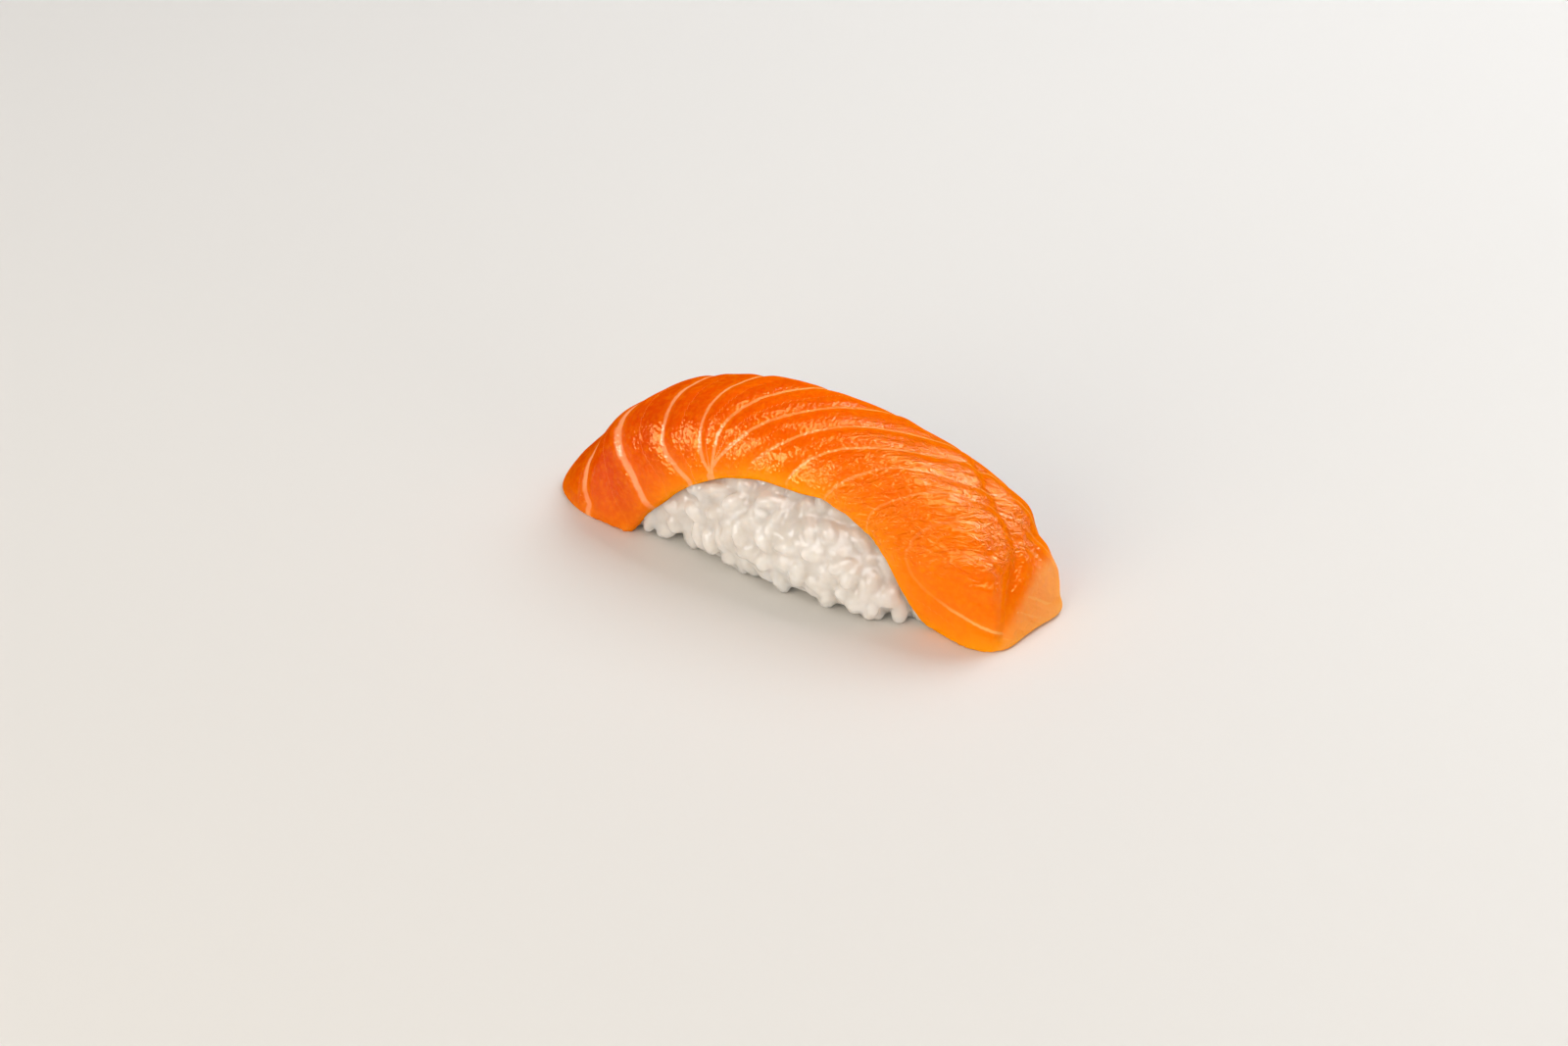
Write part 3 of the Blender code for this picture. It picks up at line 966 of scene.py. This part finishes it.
def make_rice_finish():
    material, tree = new_material("sushi_rice")
    shader = tree.nodes["Principled BSDF"]
    where = own_coordinates(tree)
    milky = rescale(tree, mottle(tree, where, MILK_FINENESS), 0.35, 0.65)
    colour = blend_colour(tree, milky, GRAIN_CLEAR, GRAIN_WHITE)
    # painted shade: the deeper a point lies in a crease, the darker and warmer it is painted
    painted_crease_shade = rescale(tree, attribute(tree, "crease_depth"), *PAINTED_SHADE_DEPTHS, 0.0, 0.6)
    colour = blend_colour(tree, painted_crease_shade, colour, CREASE_PAINTED_SHADE)
    feed(tree, colour, shader.inputs["Base Color"])
    rough = rescale(tree, mottle(tree, where, MOIST_FINENESS), 0.3, 0.7, *MOIST_ROUGHNESS)
    feed(tree, rough, shader.inputs["Roughness"])
    shader.inputs["Specular IOR Level"].default_value = 0.30
    shader.inputs["Subsurface Weight"].default_value = 1.0
    shader.inputs["Subsurface Radius"].default_value = (1.0, 0.88, 0.76)
    shader.inputs["Subsurface Scale"].default_value = 8.5 * MM
    starch = mottle(tree, where, STARCH_FINENESS, detail=4.0)
    bump = add(tree, "ShaderNodeBump", Height=starch, Strength=0.7, Distance=STARCH_RELIEF)
    feed(tree, bump.outputs[0], shader.inputs["Normal"])
    return material


select_only(loaf)
bpy.ops.object.shade_smooth()
loaf.data.materials.clear()
loaf.data.materials.append(make_rice_finish())
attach(loaf, "root")
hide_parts("rice")
print("rice loaf done:", [round(side / MM, 1) for side in loaf.dimensions], "mm")

# %% [markdown]
# ## Floor, light and camera
# Food like this is shown on something pale and a little glossy, under one broad soft light from
# behind and to the right, with the rest of the room filling the shadows.

# %% Lay the floor
FLOOR_SIZE = 4.0
FLOOR_PALE = (0.76, 0.765, 0.765)
FLOOR_SHADE = (0.73, 0.735, 0.735)
FLOOR_FINENESS = 6.0


def make_floor():
    bpy.ops.object.select_all(action="DESELECT")
    bpy.ops.mesh.primitive_plane_add(size=FLOOR_SIZE, location=(0, 0, 0))
    floor = bpy.context.object
    floor.name = "floor"
    material, tree = new_material("pale_floor")
    shader = tree.nodes["Principled BSDF"]
    tone = mottle(tree, own_coordinates(tree), FLOOR_FINENESS)
    tone = rescale(tree, tone, 0.3, 0.7, 0.0, 0.15)
    feed(tree, blend_colour(tree, tone, FLOOR_PALE, FLOOR_SHADE), shader.inputs["Base Color"])
    shader.inputs["Roughness"].default_value = 0.38
    shader.inputs["Specular IOR Level"].default_value = 0.02
    floor.data.materials.append(material)


make_floor()
print("floor laid,", FLOOR_SIZE, "m square")

# %% [markdown]
# One lamp can't do both jobs here. What lights the food softly would mirror as one big blank in
# the wet skin, and a lamp that mirrors well in it would light the rice too hard. So only the
# softbox does both. The others only shine, or are only seen mirrored, as white cards in a studio
# are.

# %% Light it
# Place in m, width and length in m, strength, colour, and whether it shines and is mirrored.
LIGHTS = {
    "softbox": ((0.15, 0.56, 0.69), (0.58, 0.62), 5.1, (0.98, 1.0, 1.03), True, True),
    "softbox_sheen": ((0.148, 0.553, 0.681), (0.58, 0.62), 8.0, (1.0, 1.0, 1.0), False, True),
    "top_sheen": ((0.27, -0.16, 0.86), (1.00, 1.00), 29.0, (1.0, 1.0, 1.0), False, True),
    "right_sheen": ((0.50, 0.62, 0.40), (0.55, 0.35), 6.0, (1.0, 1.0, 1.0), False, True),
    "front_strip": ((-0.50, -0.67, 0.35), (0.58, 0.26), 6.0, (1.0, 1.0, 1.0), False, True),
    "front_fill": ((-0.10, -0.95, 0.40), (0.80, 0.80), 7.3, (1.0, 0.85, 0.65), True, False),
    "side_fill": ((0.95, -0.28, 0.16), (0.50, 0.30), 1.3, (1.0, 0.90, 0.75), True, False),
}


def add_light(name, place, size, strength, colour, shines, mirrored):
    lamp = bpy.data.lights.new(name, "AREA")
    lamp.shape = "RECTANGLE"
    lamp.size, lamp.size_y = size
    lamp.energy = strength
    lamp.color = colour
    item = bpy.data.objects.new(name, lamp)
    item.location = place
    item.visible_diffuse, item.visible_glossy = shines, mirrored
    item.rotation_euler = (-item.location).to_track_quat("-Z", "Y").to_euler()
    bpy.context.scene.collection.objects.link(item)


for name, settings in LIGHTS.items():
    add_light(name, *settings)
print("lights:", sorted(LIGHTS))

# %% Fill the room
ROOM_LIGHT = 0.45
ROOM_COLOUR = (1.0, 0.94, 0.88)

room = bpy.data.worlds.new("room")
room.use_nodes = True
room.node_tree.nodes["Background"].inputs["Color"].default_value = (*ROOM_COLOUR, 1)
room.node_tree.nodes["Background"].inputs["Strength"].default_value = ROOM_LIGHT
room.cycles_visibility.glossy = False  # it fills the shadows but isn't mirrored in the wet skin
bpy.context.scene.world = room
bpy.context.scene.view_settings.view_transform = "Standard"
print("room light:", ROOM_LIGHT)

# %% Set up the camera
CAMERA_TURN = math.radians(29.24)  # round from the front, toward the blunt end
CAMERA_HEIGHT = math.radians(31.46)
CAMERA_ROLL = math.radians(1.53)
CAMERA_DISTANCE = 0.508
CAMERA_AIM = Vector((-3.4 * MM, -1.2 * MM, 3.6 * MM))
CAMERA_NEAR = 0.01
LENS_MM = 70

back = Vector((
    math.sin(CAMERA_TURN) * math.cos(CAMERA_HEIGHT),
    -math.cos(CAMERA_TURN) * math.cos(CAMERA_HEIGHT),
    math.sin(CAMERA_HEIGHT),
))
camera = bpy.data.objects.new("camera", bpy.data.cameras.new("camera"))
camera.data.lens = LENS_MM
camera.data.clip_start = CAMERA_NEAR
camera.location = CAMERA_AIM + back * CAMERA_DISTANCE
look = (-back).to_track_quat("-Z", "Y").to_matrix()
camera.rotation_euler = (look @ Matrix.Rotation(CAMERA_ROLL, 3, "Z")).to_euler()
bpy.context.scene.collection.objects.link(camera)
bpy.context.scene.camera = camera
print("camera at", [round(side, 3) for side in camera.location])
